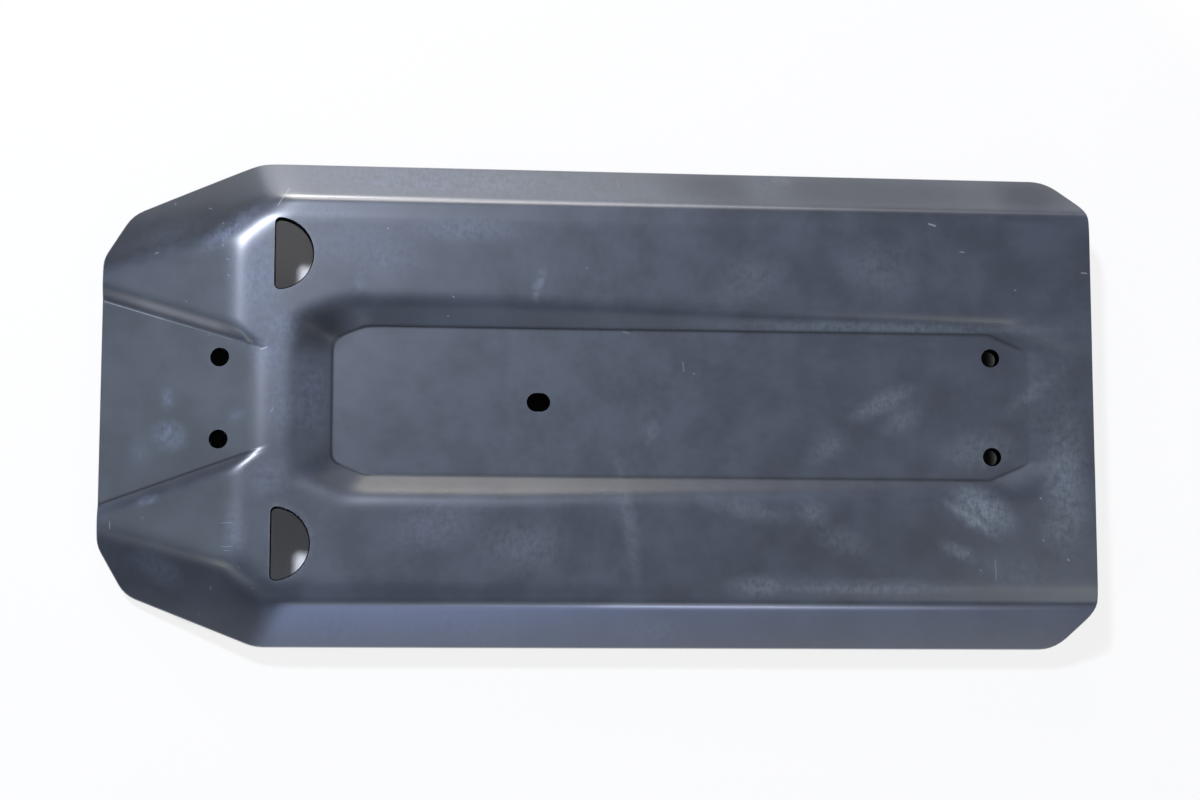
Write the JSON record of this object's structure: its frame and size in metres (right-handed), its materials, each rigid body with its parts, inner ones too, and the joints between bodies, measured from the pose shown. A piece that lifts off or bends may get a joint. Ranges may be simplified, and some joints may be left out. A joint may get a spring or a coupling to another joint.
{
  "type": "motorbike skid plate",
  "caption": "Pressed plastic skid plate: flat base with a long recess, sloping side flanges, a faceted nose, bolt holes and D-shaped drain openings.",
  "frame": {"origin": "centre of the plate's outline, at the height of the lowest rims it rests on", "axes": "+X towards the rear of the plate, +Y to one side, +Z out of the ground-facing side, which lies up"},
  "size_m": [0.42, 0.2044, 0.0345],
  "materials": {
    "black_plastic": "satin black sheet with fine scuffs and a soft sheen"
  },
  "bodies": {
    "root": {"skid_plate": "black_plastic"}
  },
  "joints": []
}
